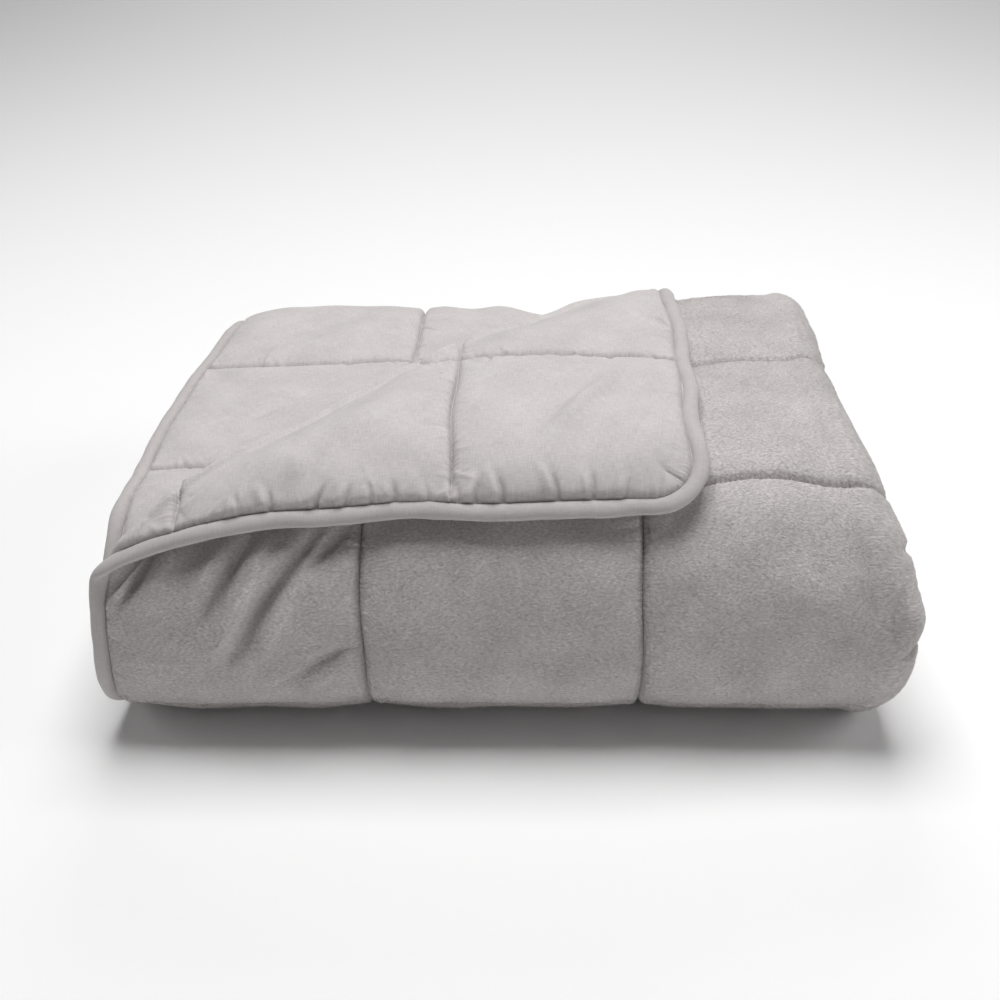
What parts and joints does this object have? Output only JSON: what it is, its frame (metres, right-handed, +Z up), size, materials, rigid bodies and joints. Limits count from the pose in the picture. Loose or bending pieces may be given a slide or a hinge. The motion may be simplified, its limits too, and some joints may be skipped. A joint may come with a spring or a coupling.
{
  "type": "folded weighted blanket",
  "caption": "Quilted weighted blanket, folded into a thick flat bundle with one corner of its top layer turned back; plush outside, cotton inside, cotton edge binding.",
  "frame": {"origin": "on the surface the blanket lies on, under the middle of its box", "axes": "+X to the right along the front roll, towards the side folded in half; +Y from the rounded front roll towards the back, where the layers end; +Z up"},
  "size_m": [0.4974, 0.436, 0.1955],
  "materials": {
    "quilt": "grey plush pile outside, light grey cotton inside",
    "binding": "light grey woven cotton"
  },
  "bodies": {
    "root": {"quilt": "quilt", "binding": "binding"}
  },
  "joints": []
}
